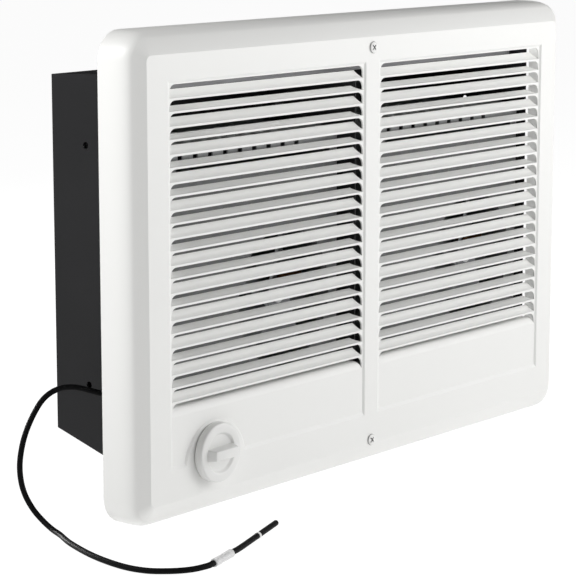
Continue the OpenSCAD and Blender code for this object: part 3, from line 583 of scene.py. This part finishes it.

# ---------- cover screws ----------
# Two pan head screws hold the cover to the can's ears. They are painted white like the cover,
# with a cross recess. The recess's floor and a thin ring on the head's rim are coloured dark as
# painted shade.
screw_coat, shader, place = new_finish("screw_paint")
depth = place.along("y")
recess_mouth, recess_floor = (-0.0319, -0.0317), (-0.03156, -0.0315)
# Painted shade: this mask darkens the floor of the cross recess and a thin ring on the head's
# rim.
lip_tone_and_painted_shade = depth.between(*recess_mouth) * (1 - depth.between(*recess_floor))
feed(shader, Base_Color=lip_tone_and_painted_shade.tint((0.86, 0.86, 0.845), (0.03, 0.03, 0.03)),
     Roughness=0.35 + 0.1 * place.noise(1500))
head_y, arm_size = -0.0324, (0.0048, 0.0016, 0.001)
screws = []
for z in screw_zs:
    screw = turned("cover_screw", (0, 0, z), to_room, [
        (0.00175, -0.002), (0.00175, 0.031), (0.0041, 0.031), (0.0041, 0.0315), (0.00375, 0.0319),
        (0.0032, 0.03215), (0.0016, 0.03235), (0.0004, 0.0324)], 32)
    for angle in (45, 135):
        arm = start_piece("arm", bpy.ops.mesh.primitive_cube_add, size=1, location=(0, head_y, z),
                          rotation=(0, math.radians(angle), 0), scale=arm_size)
        combine(screw, settle(arm), "DIFFERENCE")
    screws.append(screw)
screws = joined("cover_screw_pair", screws)
coat(smooth(screws, 35), screw_coat)
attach(screws, "heater_body")
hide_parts("cover_screws")

# ---------- knob ----------
# A moulded white knob on the thermostat's shaft: a round skirt with a shallow
# dish in its face and a straight grip across the dish.
knob_finish, shader, place = new_finish("knob_plastic")
feed(shader, Base_Color=place.noise(60).tint((0.80, 0.80, 0.785), (0.84, 0.84, 0.825)),
     Roughness=0.32 + 0.08 * place.noise(700), Normal=place.noise(1600).bump(0.00003, 0.15))
knob = turned("knob_moulding", knob_at, to_room, [
    (0.0193, 0.0316), (0.01965, 0.0319), (0.01975, 0.0324), (0.01975, 0.0363), (0.0196, 0.0369),
    (0.0192, 0.0373), (0.0186, 0.0375), (0.0178, 0.0376), (0.0141, 0.0376), (0.0136, 0.0375),
    (0.0132, 0.0372), (0.0126, 0.0364), (0.0122, 0.0361), (0.0116, 0.036)], 128)
grip_at = (knob_at[0], -0.0394, knob_at[2])
grip_size, grip_top_share, grip_edge_r = (0.027, 0.0074, 0.0085), (0.8, 1, 0.76), 0.0007
grip = start_piece("grip", bpy.ops.mesh.primitive_cube_add, size=1, location=grip_at)
bpy.ops.transform.resize(value=grip_size, center_override=grip_at)
pick(grip, "verts", lambda at: at.y < 0)
bpy.ops.transform.resize(value=grip_top_share, center_override=grip_at)
bpy.ops.mesh.select_all(action="SELECT")
bpy.ops.mesh.bevel(offset=grip_edge_r, segments=3, affect="EDGES")
combine(knob, settle(grip), "UNION")
combine(knob, drill("bore", knob_at, 0.003, 0.03, 0.036, 32), "DIFFERENCE")
coat(smooth(knob, 35), knob_finish)
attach(knob, "knob_assembly")
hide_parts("knob")

# ---------- fan modules ----------
# Each module is a chassis of galvanised sheet with a round fan opening and a
# perforated top, screwed to the back of the can. A cross plate of the same sheet
# carries the motor in its two bearings.
zinc, shader, place = new_finish("galvanised")
spangle = place.node("ShaderNodeTexVoronoi", {}, {"Vector": place, "Scale": 160}, 1)
cell = place.node("ShaderNodeSeparateColor", {}, {0: spangle})
# Painted light and shade: the sheet's low tone stands for the shade inside the can, and it turns
# lighter from 74 mm up as painted light on the deck's top.
painted_light_on_top = place.along("z").between(0.074, 0.078)
zinc_tone_and_painted_light = 0.17 + 0.06 * cell + 0.3 * painted_light_on_top
feed(shader, Base_Color=zinc_tone_and_painted_light.tint((0, 0, 0), (0.98, 1, 1)), Metallic=0.6,
     Roughness=0.42 + 0.16 * cell, Normal=place.noise(700).bump(0.00004, 0.2))


def both(*names):
    """The left and the right piece of each name."""
    return [f"{name}_{side}" for name in names for side in ("left", "right")]


cad_coat(zinc, "zinc", *both("fan_deck", "motor_bridge", "rear_bearing", "front_bearing"))

# ---------- divider ----------
# An upright plate of the same sheet stands between the two modules, and it is screwed to the
# can's back. Its zinc is coloured almost black as painted shade, for the shade of the cover's bar
# in front of it.
painted_shade_zinc, shader, place = new_finish("painted_shade_zinc")
smear = place.noise(120, 3)
feed(shader, Base_Color=smear.tint((0.035, 0.036, 0.037), (0.06, 0.061, 0.062)),
     Metallic=0.4, Roughness=0.5 + 0.15 * smear)
cad_coat(painted_shade_zinc, "zinc", "divider_plate")

# ---------- steel pieces ----------
# Screws, the motors' laminated stacks and rotors, shafts, fan clips, finned heating
# elements and limit switches are bright steel, drawn or stamped.
steel, shader, place = new_finish("bright_steel")
streak = place.noise(300, 3, (1, 1, 12))
feed(shader, Base_Color=streak.tint((0.52, 0.52, 0.53), (0.66, 0.66, 0.67)), Metallic=0.95,
     Roughness=0.28 + 0.16 * streak)
cad_coat(steel, "bright_steel", "deck_screws", "thermostat_screws", "thermostat_shaft",
         *both("stator", "rotor", "motor_shaft", "fan_clip", "element", "limit_switch"))

# ---------- fans ----------
# Each fan is aluminium, coloured dark grey, with blades set aslant round its hub, and a clip
# holds it on the motor's shaft.
aluminium, shader, place = new_finish("fan_aluminium")
swirl = place.noise(240, 3)
feed(shader, Base_Color=swirl.tint((0.16, 0.165, 0.17), (0.24, 0.245, 0.25)), Metallic=0.8,
     Roughness=0.42 + 0.14 * swirl)
cad_coat(aluminium, "fan_metal", *both("fan"))

# ---------- windings ----------
# Enamelled copper wire is wound round one upright limb of each motor's stack, turn
# above turn, and shows as fine level bands.
copper, shader, place = new_finish("winding_copper")
bands = {"Vector": place, "Scale": 310}
turns = place.node("ShaderNodeTexWave", {"bands_direction": "Z"}, bands, 1)
feed(shader, Base_Color=turns.tint((0.12, 0.045, 0.015), (0.33, 0.14, 0.055)), Metallic=0.8,
     Roughness=0.35 + 0.1 * turns, Normal=turns.bump(0.0002, 0.6))
cad_coat(copper, "winding", *both("motor_coil"))

# ---------- insulators ----------
# The heating elements' legs pass through the chassis in bushes of unglazed ceramic,
# cream with small darker specks.
ceramic, shader, place = new_finish("insulator_ceramic")
speck = place.noise(1400).between(0.55, 0.7)
feed(shader, Base_Color=speck.tint((0.78, 0.75, 0.68), (0.66, 0.62, 0.54)),
     Roughness=0.7 + 0.1 * speck)
cad_coat(ceramic, "ceramic", *both("insulators"))

# ---------- thermostat and wiring ----------
# The thermostat's body is moulded from black phenolic, and the lead's bush from
# black nylon. Rubber-sheathed leads join the modules inside the can.
phenolic, shader, place = new_finish("black_phenolic")
fleck = place.noise(800, 3)
feed(shader, Base_Color=fleck.tint((0.010, 0.010, 0.010), (0.022, 0.021, 0.020)),
     Roughness=0.4 + 0.15 * fleck)
cad_coat(phenolic, "stat_plastic", "thermostat_body")
cad_coat(phenolic, "bush_plastic", "cable_bush")
cad_coat(rubber, "lead_rubber", "inner_lead", *both("link_lead"))

# ---------- ground screw ----------
# A pan head screw with a green finish holds the ground wire to the can's back. It
# is the solid's own mesh.
green, shader, place = new_finish("green_zinc")
feed(shader, Base_Color=place.noise(900).tint((0.02, 0.16, 0.05), (0.03, 0.22, 0.08)),
     Metallic=0.3, Roughness=0.35 + 0.1 * place.noise(700))
cad_coat(green, "green_paint", "ground_screw")
